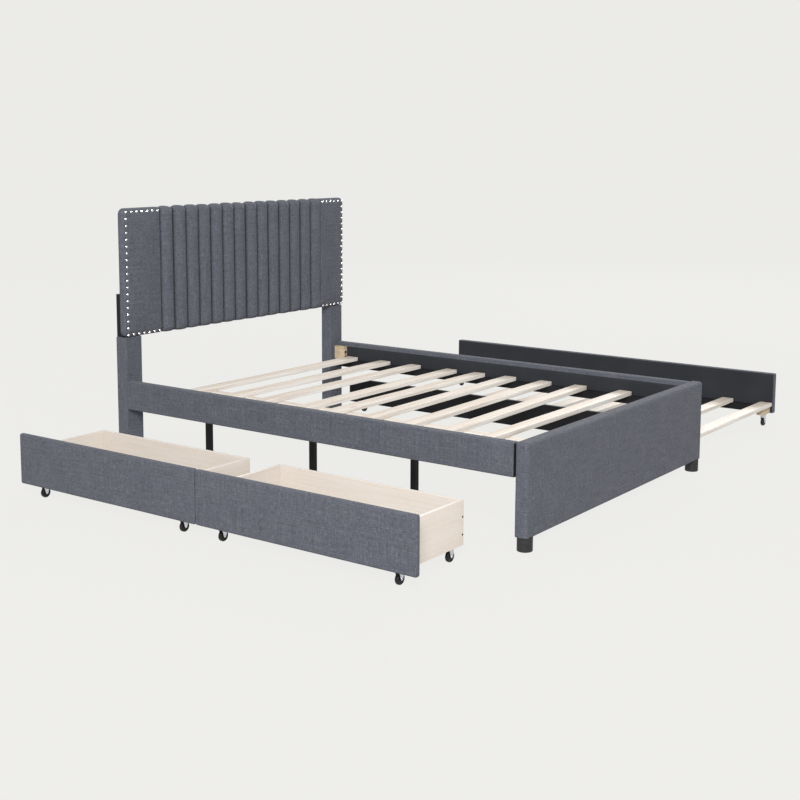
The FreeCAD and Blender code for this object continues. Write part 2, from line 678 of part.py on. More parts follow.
def trundle_parts():
    """Every piece of the trundle except its casters, by node name."""
    corners = trundle_corners()
    bolts = [corner["bolt"] for corner in corners]
    nuts = [corner["nut"] for corner in corners]
    panel_inner = TRUNDLE_PANEL_X - TRUNDLE_PANEL_THICKNESS
    panel_y = (TRUNDLE_PANEL_FOOT_Y, TRUNDLE_PANEL_HEAD_Y)
    panel_z = (FRONT_BOTTOM_Z, FRONT_TOP_Z)
    board = soft_plate(TRUNDLE_PANEL_X, panel_inner, panel_y, panel_z, FRONT_SKIN)
    cover = soft_plate(TRUNDLE_PANEL_X, panel_inner, panel_y, panel_z, 0.0).cut(board)
    rear_x = (TRUNDLE_REAR_X, TRUNDLE_REAR_X + TRUNDLE_REAR_THICKNESS)
    rear = box(rear_x, inset(panel_y, 1.0), (FRONT_BOTTOM_Z, TRUNDLE_REAR_TOP_Z))
    ledgers = [trundle_ledger(rear_x[1]), trundle_ledger(panel_inner - LEDGER_WIDTH)]
    return {
        "trundle_panel_board": cut_all(board, bolts),
        "trundle_panel_cover": cover,
        "trundle_rear_board": cut_all(rear, bolts),
        "trundle_ledgers": group(ledgers),
        "trundle_slats": group([trundle_slat(n) for n in range(TRUNDLE_SLAT_COUNT)]),
        "trundle_corner_blocks": group([corner["block"] for corner in corners]),
        "trundle_bolts": group(bolts + nuts),
    }


def trundle_caster_places():
    """X and Y of the trundle's four casters, with the words that name them."""
    y = TRUNDLE_BLOCK_OUTER_Y - TRUNDLE_BLOCK_WIDTH / 2
    panel_x = TRUNDLE_PANEL_X - TRUNDLE_PANEL_THICKNESS - TRUNDLE_CASTER_INSET_X
    rear_x = TRUNDLE_REAR_X + TRUNDLE_REAR_THICKNESS + TRUNDLE_CASTER_INSET_X
    places = {}
    for depth, x in (("front", panel_x), ("rear", rear_x)):
        places[f"{depth}_head"] = (x, y)
        places[f"{depth}_foot"] = (x, -y)
    return places


# ---------------------------------------------------------------- the whole bed
def bed_frame_nodes():
    """Every node that stays still: headboard, rails, footboard and slats."""
    bolts = all_frame_bolts()
    nails = []
    shanks = []
    for side in SIDES:
        for x, z in nail_places(side):
            nails.append(nail(x, z))
            shanks.append(nail_shank(x, z))
    pads = {side: cut_all(side_pad(side), shanks) for side in SIDES}
    post = cut_all(leg_post(), bolts)
    sleeve = cut_all(leg_cover(), bolts)
    head_block = corner_block(HEAD_CORNER_BLOCK_HEIGHT)
    foot_block = mirrored_y(corner_block(FOOT_CORNER_BLOCK_HEIGHT))
    blocks = [cut_all(block, bolts) for block in (head_block, foot_block)]
    blocks += [mirrored_x(block) for block in blocks]
    linings = [rail_lining(), mirrored_x(rail_lining()), cut_all(headboard_back_cloth(), bolts)]
    glides = [leg_glide(), mirrored_x(leg_glide())]
    glides += [support_pad(y) for y in SUPPORT_LEG_CENTRES_Y]
    return {
        "headboard_board": cut_all(headboard_board(), bolts + shanks),
        "headboard_channel_cushion": channel_cushion(),
        "headboard_side_pad_left": pads["left"],
        "headboard_side_pad_right": pads["right"],
        "headboard_nails": group(nails),
        "headboard_leg_left": post,
        "headboard_leg_right": mirrored_x(post),
        "leg_cover_left": sleeve,
        "leg_cover_right": mirrored_x(sleeve),
        "side_rail_left": rail_board(),
        "side_rail_right": mirrored_x(rail_board()),
        "rail_cover_left": rail_cover(),
        "rail_cover_right": mirrored_x(rail_cover()),
        "lining_cloths": group(linings),
        "slat_ledgers": group([ledger(), mirrored_x(ledger())]),
        "corner_blocks": group(blocks),
        "frame_bolts": group(bolts),
        "footboard_board": cut_all(footboard_board(), bolts),
        "footboard_cover": cut_all(footboard_cover(), bolts),
        "footboard_feet": group([foot_post(-FOOT_POST_X), foot_post(FOOT_POST_X)]),
        "floor_glides": group(glides),
        "bed_slats": group([slat(y) for y in BED_SLAT_CENTRES_Y]),
        "centre_beam": centre_beam(),
        "support_legs": group([support_leg(y) for y in SUPPORT_LEG_CENTRES_Y]),
    }


def caster_nodes(owner, places):
    """A set of forks in one node, and one node for each wheel."""
    nodes = {f"{owner}_caster_forks": group([caster_fork(x, y) for x, y in places.values()])}
    for words, (x, y) in places.items():
        nodes[f"{owner}_wheel_{words}"] = caster_wheel(x, y)
    return nodes


def drawer_nodes(owner, at_head_end):
    """Every node of one drawer: the foot-end drawer mirrors the head-end one."""
    place = (lambda shape: shape) if at_head_end else mirrored_y
    turn = 1 if at_head_end else -1
    nodes = {f"{owner}_{name}": place(shape) for name, shape in drawer_parts().items()}
    places = {}
    for words, (x, y) in drawer_caster_places().items():
        places[words] = (x, turn * y + DRAWER_CASTER_OFFSET_Y)
    nodes.update(caster_nodes(owner, places))
    return nodes


def all_nodes():
    nodes = bed_frame_nodes()
    nodes.update(drawer_nodes("drawer_left", at_head_end=True))
    nodes.update(drawer_nodes("drawer_right", at_head_end=False))
    nodes.update(trundle_parts())
    nodes.update(caster_nodes("trundle", trundle_caster_places()))
    return nodes


os.makedirs("parts", exist_ok=True)
for node_name, laid_out in all_nodes().items():
    node_shape = laid_out.translated(-FOOTPRINT_MIDDLE)
    if not node_shape.isValid() or not node_shape.Solids:
        raise ValueError(f"{node_name} is not a valid solid")
    node_shape.exportStep(f"parts/{node_name}.step")
    bounds = node_shape.BoundBox
    print(
        f"{node_name}: {len(node_shape.Solids)} solid(s), X {bounds.XMin:.1f}..{bounds.XMax:.1f},"
        f" Y {bounds.YMin:.1f}..{bounds.YMax:.1f}, Z {bounds.ZMin:.1f}..{bounds.ZMax:.1f}"
    )
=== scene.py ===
"""Looks for the platform bed: upholstery, timber, casters, floor, light and camera."""
import json
import math

import bpy
import numpy as np
from mathutils import Matrix, Vector


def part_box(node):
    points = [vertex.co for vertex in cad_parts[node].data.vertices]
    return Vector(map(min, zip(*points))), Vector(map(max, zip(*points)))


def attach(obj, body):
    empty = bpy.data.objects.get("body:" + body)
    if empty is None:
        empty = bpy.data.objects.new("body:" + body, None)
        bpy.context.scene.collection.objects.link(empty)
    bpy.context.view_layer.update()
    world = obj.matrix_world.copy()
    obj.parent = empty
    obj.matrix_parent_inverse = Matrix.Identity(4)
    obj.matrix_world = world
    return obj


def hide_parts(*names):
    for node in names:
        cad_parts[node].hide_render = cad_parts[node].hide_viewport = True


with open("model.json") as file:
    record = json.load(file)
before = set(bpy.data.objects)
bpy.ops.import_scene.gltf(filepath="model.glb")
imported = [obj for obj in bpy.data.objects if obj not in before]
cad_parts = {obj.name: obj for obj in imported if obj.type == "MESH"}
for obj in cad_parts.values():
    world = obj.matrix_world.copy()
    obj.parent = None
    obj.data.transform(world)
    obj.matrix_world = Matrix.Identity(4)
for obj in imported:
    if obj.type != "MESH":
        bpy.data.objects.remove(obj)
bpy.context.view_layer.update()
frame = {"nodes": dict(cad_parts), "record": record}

MM = 0.001
X, Y, Z = 0, 1, 2
ROUNDING_STEPS = 5           # grid steps round a soft edge
CELL_CORNERS = ((0, 0), (1, 0), (1, 1), (0, 1))
RIPPLE_WAVES = 7             # sine waves that add up to one smooth random height
PUFF_FRAMES = 20             # length of a cloth simulation
PUFF_PRESSURE = 3.0


# ---------------------------------------------------------------- mesh helpers
def grid_line(low, high, round_low, round_high, spacing):
    """Grid positions along one side of a block, closer together where its ends are rounded."""
    inner_low = low + round_low
    inner_high = high - round_high
    count = max(1, round((inner_high - inner_low) / spacing))
    line = list(np.linspace(inner_low, inner_high, count + 1))
    if round_low > 0:
        line = list(np.linspace(low, inner_low, ROUNDING_STEPS + 1)[:-1]) + line
    if round_high > 0:
        line = line + list(np.linspace(inner_high, high, ROUNDING_STEPS + 1)[1:])
    return np.array(line)


def rounded(points, low, high, rounding):
    """Moves a block's surface points onto its rounded edges and corners."""
    inner = points.copy()
    offset = np.zeros_like(points)
    radii = np.zeros_like(points)
    for axis in (X, Y, Z):
        low_radius, high_radius = rounding[axis]
        inner_low = low[axis] + low_radius
        inner_high = high[axis] - high_radius
        inner[:, axis] = np.clip(points[:, axis], inner_low, inner_high)
        radii[:, axis] = np.where(points[:, axis] < inner_low, low_radius, high_radius)
        offset[:, axis] = (points[:, axis] - inner[:, axis]) / np.maximum(radii[:, axis], 1e-9)
    longest = np.abs(offset).max(axis=1)
    length = np.linalg.norm(offset, axis=1)
    shrink = np.where(length > 0, longest / np.maximum(length, 1e-9), 1.0)
    return inner + offset * radii * shrink[:, None]


class Surface:
    """Points, quads and the place of every quad corner on the flat cloth or board."""

    def __init__(self, points, quads, places):
        self.points = points
        self.quads = quads
        self.places = places

    def normals(self):
        a, b, c, d = (self.points[self.quads[:, corner]] for corner in range(4))
        facing = np.cross(c - a, d - b)
        total = np.zeros_like(self.points)
        for corner in range(4):
            np.add.at(total, self.quads[:, corner], facing)
        length = np.linalg.norm(total, axis=1)
        return total / np.maximum(length, 1e-12)[:, None]

    def push(self, heights):
        """Moves every point along its normal."""
        self.points = self.points + self.normals() * heights[:, None]


def block_face(axis, at_high_end, lines, grain, shift):
    """One side of a block: the grid numbers of its quads' corners, and their flat places."""
    counts = [len(line) for line in lines]
    first, second = [a for a in (X, Y, Z) if a != axis]
    along, across = (second, first) if second == grain else (first, second)
    start = np.meshgrid(range(counts[first] - 1), range(counts[second] - 1), indexing="ij")
    outward = at_high_end != (axis == Y)
    ids = []
    places = []
    for step in CELL_CORNERS if outward else CELL_CORNERS[::-1]:
        cell = [None, None, None]
        cell[axis] = np.full(start[0].size, counts[axis] - 1 if at_high_end else 0)
        cell[first] = start[0].ravel() + step[0]
        cell[second] = start[1].ravel() + step[1]
        ids.append((cell[X] * counts[Y] + cell[Y]) * counts[Z] + cell[Z])
        place = [lines[along][cell[along]] + shift, lines[across][cell[across]] + shift]
        places.append(np.stack(place, 1))
    return np.stack(ids, 1), np.stack(places, 1)


def block(low, high, rounding, spacing, grain=X, shift=0.0):
    """A closed block with rounded edges.

    rounding holds a (low side, high side) radius for each axis, grain is the axis that
    the thread or the wood grain follows, and shift moves the pattern so that pieces differ.
    """
    if not hasattr(rounding, "__len__"):
        rounding = ((rounding, rounding),) * 3
    lines = [grid_line(low[a], high[a], *rounding[a], spacing) for a in (X, Y, Z)]
    faces = []
    for axis in (X, Y, Z):
        for at_high_end in (False, True):
            faces.append(block_face(axis, at_high_end, lines, grain, shift))
    quads = np.concatenate([face[0] for face in faces])
    places = np.concatenate([face[1] for face in faces])
    used, renumbered = np.unique(quads, return_inverse=True)
    x_index, rest = np.divmod(used, len(lines[Y]) * len(lines[Z]))
    y_index, z_index = np.divmod(rest, len(lines[Z]))
    points = np.stack([lines[X][x_index], lines[Y][y_index], lines[Z][z_index]], 1)
    points = rounded(points, low, high, rounding)
    return Surface(points, renumbered.reshape(quads.shape), places)


def ripple(points, size, seed):
    """A smooth random height from about -1 to 1, with bumps of about the given size."""
    random = np.random.default_rng(seed)
    total = np.zeros(len(points))
    for _ in range(RIPPLE_WAVES):
        direction = random.normal(size=3)
        direction /= np.linalg.norm(direction)
        length = size * random.uniform(0.7, 1.5)
        total += np.sin(points @ direction * (2 * math.pi / length) + random.uniform(0, 2 * math.pi))
    return total * (1.6 / RIPPLE_WAVES)


def ease(value):
    """Smooth step from 0 to 1."""
    value = np.clip(value, 0.0, 1.0)
    return value * value * (3 - 2 * value)


def make_piece(name, surface, slot, body, replaced, painted_seam_shade=None):
    """A shaded mesh object that rides on a body and stands for the CAD nodes it replaces.

    The seam shade argument holds, for each point, how much shade is painted on it beside a seam: 0 in
    the open to 1.
    """
    mesh = bpy.data.meshes.new(name)
    mesh.from_pydata(surface.points.tolist(), [], surface.quads.tolist())
    layer = mesh.uv_layers.new(name="cut")
    layer.data.foreach_set("uv", surface.places.astype(np.float32).ravel())
    mesh.polygons.foreach_set("use_smooth", np.ones(len(mesh.polygons), bool))
    if painted_seam_shade is not None:
        # Keeps the shade painted beside the seams on each point, for the cloth's colour to read.
        mesh.attributes.new("painted_seam_shade", "FLOAT", "POINT").data.foreach_set("value", painted_seam_shade.astype(np.float32))
    mesh.materials.append(MATERIALS[slot])
    piece = bpy.data.objects.new(name, mesh)
    bpy.context.scene.collection.objects.link(piece)
    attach(piece, body)
    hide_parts(*replaced)
    return piece


def mesh_points(mesh):
    """The places of a mesh's points, one row each."""
    flat = np.zeros(len(mesh.vertices) * 3, np.float32)
    mesh.vertices.foreach_get("co", flat)
    return flat.reshape(-1, 3).astype(float)


def puff(piece, pinned, most):
    """Fills a piece out with a short cloth simulation, moving no point further than most."""
    start = mesh_points(piece.data)
    group = piece.vertex_groups.new(name="pinned")
    group.add([int(i) for i in np.flatnonzero(pinned)], 1.0, "REPLACE")
    modifier = piece.modifiers.new("puff", "CLOTH")
    settings = modifier.settings
    settings.vertex_group_mass = group.name
    settings.use_pressure = True
    settings.uniform_pressure_force = PUFF_PRESSURE
    settings.effector_weights.gravity = 0
    settings.bending_stiffness = 2.0
    modifier.collision_settings.use_collision = False
    scene = bpy.context.scene
    for number in range(1, PUFF_FRAMES + 1):
        scene.frame_set(number)
    evaluated = piece.evaluated_get(bpy.context.evaluated_depsgraph_get())
    moved = mesh_points(evaluated.data) - start
    length = np.linalg.norm(moved, axis=1)
    moved *= np.minimum(1.0, most / np.maximum(length, 1e-9))[:, None]
    piece.modifiers.remove(modifier)
    piece.vertex_groups.remove(group)
    piece.data.vertices.foreach_set("co", (start + moved).astype(np.float32).ravel())
    piece.data.update()
    scene.frame_set(1)


# ---------------------------------------------------------------- material helpers
class Nodes:
    """Adds shader nodes to a new material and links them in one call each."""

    def __init__(self, name):
        self.material = bpy.data.materials.new(name)
        self.material.use_nodes = True
        self.tree = self.material.node_tree
        self.shader = self.tree.nodes["Principled BSDF"]

    def add(self, kind, inputs=None, **settings):
        """A node of one kind, whose inputs are links or fixed values."""
        node = self.tree.nodes.new(kind)
        for key, value in settings.items():
            setattr(node, key, value)
        for key, value in (inputs or {}).items():
            if isinstance(value, bpy.types.NodeSocket):
                self.tree.links.new(value, node.inputs[key])
            else:
                node.inputs[key].default_value = value
        return node

    def place(self, scale):
        """The flat place on the cloth or board, in metres, multiplied by a scale."""
        source = self.add("ShaderNodeUVMap", uv_map="cut").outputs["UV"]
        mapping = self.add("ShaderNodeMapping", {"Vector": source, "Scale": scale})
        return mapping.outputs["Vector"]

    def spot(self, scale):
        """The place in the model's own frame, in metres, multiplied by a scale."""
        source = self.add("ShaderNodeTexCoord").outputs["Object"]
        mapping = self.add("ShaderNodeMapping", {"Vector": source, "Scale": scale})
        return mapping.outputs["Vector"]

    def noise(self, vector, detail=3.0, roughness=0.55, distortion=0.0):
        """Smooth noise from 0 to 1, with one bump for each unit of the vector."""
        inputs = {
            "Vector": vector, "Scale": 1.0, "Detail": detail,
            "Roughness": roughness, "Distortion": distortion,
        }
        return self.add("ShaderNodeTexNoise", inputs).outputs["Fac"]

    def ramp(self, factor, *stops):
        """A colour ramp through (position, colour) stops."""
        node = self.add("ShaderNodeValToRGB", {"Fac": factor})
        elements = node.color_ramp.elements
        while len(elements) < len(stops):
            elements.new(0.5)
        for element, (position, colour) in zip(elements, stops):
            element.position = position
            element.color = (*colour, 1.0)
        return node.outputs["Color"]

    def mix(self, factor, first, second, blend="MIX"):
        """Blends two colours, each a link or a fixed value."""
        node = self.add("ShaderNodeMix", data_type="RGBA", blend_type=blend)
        for index, value in ((0, factor), (6, first), (7, second)):
            if isinstance(value, bpy.types.NodeSocket):
                self.tree.links.new(value, node.inputs[index])
            elif index == 0:
                node.inputs[index].default_value = value
            else:
                node.inputs[index].default_value = (*value, 1.0)
        return node.outputs[2]

    def math(self, operation, first, second=0.0):
        node = self.add("ShaderNodeMath", operation=operation)
        for index, value in enumerate((first, second)):
            if isinstance(value, bpy.types.NodeSocket):
                self.tree.links.new(value, node.inputs[index])
            else:
                node.inputs[index].default_value = value
        return node.outputs[0]

    def bump(self, height, distance, strength=1.0, below=None):
        inputs = {"Height": height, "Distance": distance, "Strength": strength}
        if below is not None:
            inputs["Normal"] = below
        return self.add("ShaderNodeBump", inputs).outputs["Normal"]

    def finish(self, colour, roughness, normal=None, **fixed):
        """Sets the shader's inputs, with an underscore for each space in a fixed one's name."""
        for key, value in (("Base Color", colour), ("Roughness", roughness), ("Normal", normal)):
            if isinstance(value, bpy.types.NodeSocket):
                self.tree.links.new(value, self.shader.inputs[key])
            elif value is not None:
                self.shader.inputs[key].default_value = value
        for key, value in fixed.items():
            self.shader.inputs[key.replace("_", " ")].default_value = value
        return self.material


def bands(nodes, vector, direction, pitch):
    """Sine bands one pitch apart, from 0 to 1."""
    inputs = {"Vector": vector, "Scale": 2 * math.pi / (20 * pitch), "Distortion": 0.0}
    settings = {"wave_type": "BANDS", "bands_direction": direction, "wave_profile": "SIN"}
    return nodes.add("ShaderNodeTexWave", inputs, **settings).outputs["Fac"]


# ---------------------------------------------------------------- materials
YARN = 1.5 * MM                      # from one thread of the upholstery to the next
SLATE_DARK = (0.034, 0.036, 0.045)
SLATE = (0.068, 0.072, 0.087)
SLATE_LIGHT = (0.124, 0.131, 0.155)
# Painted shade: the colour the cloth is darkened to right at a seam.
SEAM_SHADE = (0.006, 0.006, 0.008)
KNOT = (0.27, 0.17, 0.11)
PAINTED_LIGHT_GAIN = (1.09, 1.14, 1.20)    # how much lighter painted light makes the chosen faces
LEVEL_LIMIT = 0.7                    # a face is level where its normal is this upright or more


def linen():
    """Slate melange cloth: crossing warp and weft, flecked with lighter and darker yarn, with shade
    painted into the seams.
    """
    nodes = Nodes("slate_linen")
    flat = nodes.place((1, 1, 1))
    warp = bands(nodes, flat, "X", YARN)
    weft = bands(nodes, flat, "Y", YARN)
    check = nodes.add("ShaderNodeTexChecker", {"Vector": flat, "Scale": 1 / YARN}).outputs["Fac"]
    weave = nodes.mix(check, warp, weft)
    warp_slub = nodes.noise(nodes.place((620, 60, 1)), 2.0)
    weft_slub = nodes.noise(nodes.place((60, 620, 1)), 2.0)
    slub = nodes.mix(0.5, warp_slub, weft_slub)
    warp_streak = nodes.noise(nodes.place((230, 9, 1)), 2.0)
    weft_streak = nodes.noise(nodes.place((9, 230, 1)), 2.0)
    streak = nodes.mix(0.5, warp_streak, weft_streak)
    cloud = nodes.noise(nodes.place((9, 9, 1)), 3.0)
    colour = nodes.ramp(slub, (0.30, SLATE_DARK), (0.50, SLATE), (0.72, SLATE_LIGHT))
    for thread in (warp_streak, weft_streak):
        shade = nodes.ramp(thread, (0.34, (0.87, 0.87, 0.87)), (0.66, (1.13, 1.13, 1.13)))
        colour = nodes.mix(1.0, colour, shade, "MULTIPLY")
    tone = nodes.ramp(cloud, (0.3, (0.95, 0.96, 0.97)), (0.7, (1.05, 1.04, 1.03)))
    colour = nodes.mix(1.0, colour, tone, "MULTIPLY")
    gap = nodes.ramp(weave, (0.05, (0.70, 0.70, 0.72)), (0.6, (1.05, 1.05, 1.05)))
    colour = nodes.mix(1.0, colour, gap, "MULTIPLY")
    # Painted shade: the cloth is darkened towards SEAM_SHADE beside the seams.
    painted_seam_shade = nodes.add("ShaderNodeAttribute", attribute_name="painted_seam_shade").outputs["Fac"]
    colour = nodes.mix(painted_seam_shade, colour, SEAM_SHADE)
    raised = nodes.bump(streak, 0.6 * MM, 0.4)
    raised = nodes.bump(weave, 0.35 * MM, 0.6, raised)
    return nodes.finish(
        colour, 0.95, raised, Sheen_Weight=0.04, Sheen_Roughness=0.5, Specular_IOR_Level=0.15
    )


def black_cloth():
    """Black non-woven lining with its fine dotted emboss."""
    nodes = Nodes("black_cloth")
    flat = nodes.place((1, 1, 1))
    dots = nodes.add("ShaderNodeTexVoronoi", {"Vector": flat, "Scale": 420.0, "Randomness": 0.35})
    fibre = nodes.noise(nodes.place((260, 260, 1)), 4.0, 0.7)
    cloud = nodes.noise(nodes.place((7, 7, 1)), 3.0)
    colour = nodes.ramp(fibre, (0.3, (0.011, 0.012, 0.014)), (0.7, (0.024, 0.025, 0.030)))
    tone = nodes.ramp(cloud, (0.3, (0.88, 0.88, 0.88)), (0.7, (1.12, 1.12, 1.12)))
    colour = nodes.mix(1.0, colour, tone, "MULTIPLY")
    raised = nodes.bump(fibre, 0.3 * MM, 0.5)
    raised = nodes.bump(dots.outputs["Distance"], 0.25 * MM, 0.5, raised)
    return nodes.finish(colour, 0.85, raised, Sheen_Weight=0.04, Specular_IOR_Level=0.12)


def with_knots(nodes, colour, place, share):
    """Scatters round knots: share is how many of the cells have one."""
    inputs = {"Vector": place, "Scale": 1.0, "Randomness": 1.0}
    cell = nodes.add("ShaderNodeTexVoronoi", inputs, voronoi_dimensions="2D")
    chosen = nodes.math("GREATER_THAN", cell.outputs["Color"], 1.0 - share)
    near = nodes.ramp(cell.outputs["Distance"], (0.05, (1, 1, 1)), (0.15, (0, 0, 0)))
    return nodes.mix(nodes.mix(1.0, near, chosen, "MULTIPLY"), colour, KNOT)


def with_painted_light(nodes, colour, faces):
    """Paints light onto faces by the way they face: the level ones ("tops") or all others ("uprights").
    """
    normal = nodes.add("ShaderNodeNewGeometry").outputs["Normal"]
    upward = nodes.add("ShaderNodeSeparateXYZ", {"Vector": normal}).outputs["Z"]
    level = nodes.math("GREATER_THAN", nodes.math("ABSOLUTE", upward), LEVEL_LIMIT)
    painted_faces = level if faces == "tops" else nodes.math("SUBTRACT", 1.0, level)
    return nodes.mix(painted_faces, colour, nodes.mix(1.0, colour, PAINTED_LIGHT_GAIN, "MULTIPLY"))


def timber(name, light, dark, contrast, knots=0.0, cut=True, pale=None):
    """Planed softwood: long streaks of grain, fine pores and, if asked, scattered knots.

    cut says that the pieces carry their own flat places; otherwise the grain runs along X.
    pale names the faces, "uprights" or "tops", that get painted light by their facing and so are
    lighter than the rest.
    """
    nodes = Nodes(name)

    def lengthwise(along, across):
        return nodes.place((along, across, 1)) if cut else nodes.spot((along, across, across))

    sway = nodes.math("MULTIPLY", nodes.noise(lengthwise(2.2, 9), 2.0), 0.02)
    shift = nodes.add("ShaderNodeCombineXYZ", {"Y": sway}).outputs[0]
    bent = nodes.add("ShaderNodeVectorMath", {0: lengthwise(1, 1), 1: shift}, operation="ADD")
    stretched = nodes.add("ShaderNodeMapping", {"Vector": bent.outputs[0], "Scale": (3.0, 95.0, 95.0)})
    streak = nodes.noise(stretched.outputs["Vector"], 4.0, 0.6, 0.4)
    pores = nodes.noise(lengthwise(38, 950), 2.0)
    patch = nodes.noise(lengthwise(0.9, 3.5), 2.0)
    colour = nodes.ramp(streak, (0.5 - contrast, dark), (0.5 + contrast * 0.4, light))
    tone = nodes.ramp(patch, (0.3, (0.95, 0.91, 0.88)), (0.7, (1.04, 1.04, 1.04)))
    colour = nodes.mix(1.0, colour, tone, "MULTIPLY")
    fine = nodes.ramp(pores, (0.35, (0.94, 0.93, 0.92)), (0.6, (1.02, 1.02, 1.02)))
    colour = nodes.mix(1.0, colour, fine, "MULTIPLY")
    if knots:
        colour = with_knots(nodes, colour, lengthwise(4.5, 13), knots)
    # Painted light: the faces named by pale are lightened by the way they face, not by the wood.
    if pale:
        colour = with_painted_light(nodes, colour, pale)
    raised = nodes.bump(streak, 0.25 * MM, 0.4)
    raised = nodes.bump(pores, 0.12 * MM, 0.5, raised)
    rough = nodes.ramp(pores, (0.3, (0.62, 0.62, 0.62)), (0.7, (0.5, 0.5, 0.5)))
    return nodes.finish(colour, rough, raised, Specular_IOR_Level=0.35)


def painted_wood():
    """Satin black wood with faint grain under the paint and dulled patches."""
    nodes = Nodes("black_wood")
    grain = nodes.noise(nodes.spot((60, 60, 6)), 4.0, 0.6)
    worn = nodes.noise(nodes.spot((9, 9, 9)), 4.0, 0.6)
    colour = nodes.ramp(worn, (0.3, (0.005, 0.005, 0.006)), (0.75, (0.010, 0.010, 0.012)))
    rough = nodes.ramp(grain, (0.3, (0.42, 0.42, 0.42)), (0.7, (0.60, 0.60, 0.60)))
    return nodes.finish(colour, rough, nodes.bump(grain, 0.2 * MM, 0.4), Specular_IOR_Level=0.12)


def moulded(name, tone, roughness):
    """Moulded plastic or rubber with a fine spark-eroded grain."""
    nodes = Nodes(name)
    grain = nodes.noise(nodes.spot((900, 900, 900)), 2.0)
    scuff = nodes.noise(nodes.spot((45, 45, 45)), 4.0, 0.65)
    bright = tuple(1.7 * channel for channel in tone)
    colour = nodes.ramp(scuff, (0.35, tone), (0.8, bright))
    low = roughness - 0.08
    high = roughness + 0.12
    rough = nodes.ramp(scuff, (0.3, (low, low, low)), (0.7, (high, high, high)))
    return nodes.finish(colour, rough, nodes.bump(grain, 0.08 * MM, 0.6), Specular_IOR_Level=0.22)


def metal(name, tone, roughness, scale):
    """Plated metal with fine drawn scratches and a slightly uneven polish."""
    nodes = Nodes(name)
    scratch = nodes.noise(nodes.spot(scale), 3.0, 0.6)
    patch = nodes.noise(nodes.spot((70, 70, 70)), 3.0)
    dull = tuple(0.82 * channel for channel in tone)
    colour = nodes.ramp(patch, (0.3, dull), (0.7, tone))
    low = roughness - 0.06
    high = roughness + 0.10
    rough = nodes.ramp(scratch, (0.3, (low, low, low)), (0.7, (high, high, high)))
    return nodes.finish(colour, rough, nodes.bump(scratch, 0.03 * MM, 0.5), Metallic=1.0)


def fibreboard():
    """Dark fibreboard, seen only where a board isn't covered."""
    nodes = Nodes("board_core")
    fleck = nodes.noise(nodes.spot((500, 500, 500)), 3.0)
    colour = nodes.ramp(fleck, (0.3, (0.045, 0.038, 0.032)), (0.7, (0.075, 0.064, 0.054)))
    return nodes.finish(colour, 0.8, nodes.bump(fleck, 0.1 * MM, 0.4))


MATERIALS = {
    "slate_linen": linen(),
    "black_cloth": black_cloth(),
    "black_wood": painted_wood(),
    "board_core": fibreboard(),
    # Painted light on pine's upright faces and on plywood's level faces.
    "pine": timber(
        "pine", (0.492, 0.463, 0.424), (0.377, 0.310, 0.248), 0.22, knots=0.14, pale="uprights"
    ),
    "block_pine": timber("block_pine", (0.402, 0.333, 0.236), (0.241, 0.172, 0.098), 0.24, cut=False),
    "plywood": timber("plywood", (0.477, 0.443, 0.408), (0.448, 0.402, 0.354), 0.28, pale="tops"),
    "nail_silver": metal("nail_silver", (0.86, 0.85, 0.83), 0.20, (300, 300, 300)),
    "zinc_steel": metal("zinc_steel", (0.66, 0.68, 0.72), 0.22, (60, 900, 900)),
    "black_wheel": moulded("black_wheel", (0.006, 0.006, 0.007), 0.30),
    "black_plastic": moulded("black_plastic", (0.013, 0.013, 0.014), 0.45),
}


def finish_cad_nodes():
    """Gives every CAD node the material of its slot."""
    slots = {part["node"]: part["material_slot"] for part in frame["record"]["subparts"]}
    for name, node in frame["nodes"].items():
        node.data.materials.clear()
        node.data.materials.append(MATERIALS[slots[name]])


# ---------------------------------------------------------------- headboard
CHANNELS = 14
CHANNEL_COLUMNS = 18         # grid columns across one channel
SEAM_DEPTH = 26 * MM         # from a seam to a crest
CREST_RISE = 9 * MM          # how far a crest stands over the seams at the top
CREST_CORNER = 26 * MM       # rounding of a crest where it turns over the top
SEAM_CORNER = 9 * MM
SEAM_SHADE_WIDTH = 4.5 * MM  # how far from a seam the painted seam shade still reaches
SEAM_WANDER = 1.8 * MM       # how far a seam strays sideways on its way up
GATHER_SPACING = 21 * MM     # from one small gather along a seam to the next
GATHER_HEIGHT = 0.8 * MM
BACK_GAP = 0.5 * MM          # between a pad's back and the board
PAD_PLUMP = 4 * MM
PAD_CORNER = 28 * MM         # rounding of the headboard's outer corners
PAD_SEAM_CORNER = 6 * MM     # rounding of a side pad beside the channels
NAIL_INSET = 19 * MM         # from the headboard's side to its line of nails
NAIL_REACH = 8 * MM          # the room round a nail's middle that it alone takes up
NAIL_DIMPLE = 2 * MM
BOTTOM_ROWS = 3              # grid rows of the fluted pad along each stretch of its path
CORNER_ROWS = 10
FRONT_ROWS = 90
TOP_ROWS = 5


def channel_rows():
    """The path of each row over the pad: along the bottom, up the front and over the top."""
    rows = [("bottom", part / BOTTOM_ROWS) for part in range(BOTTOM_ROWS)]
    rows += [("low_corner", part / CORNER_ROWS) for part in range(CORNER_ROWS)]
    rows += [("front", part / FRONT_ROWS) for part in range(FRONT_ROWS)]
    rows += [("high_corner", part / CORNER_ROWS) for part in range(CORNER_ROWS)]
    rows += [("top", part / (TOP_ROWS - 1)) for part in range(TOP_ROWS)]
    return rows


def channel_row(kind, part, front, back, bottom, top, radius):
    """Y and Z of one row's points, part of the way along its stretch of the path."""
    sine = math.sin(part * math.pi / 2)
    cosine = math.cos(part * math.pi / 2)
    if kind == "bottom":
        return back + (front + radius - back) * part, bottom
    if kind == "low_corner":
        return front + radius - radius * sine, bottom + radius - radius * cosine
    if kind == "front":
        return front, bottom + radius + (top - bottom - 2 * radius) * part
    if kind == "high_corner":
        return front + radius - radius * cosine, top - radius + radius * sine
    return front + radius + (back - front - radius) * part, top


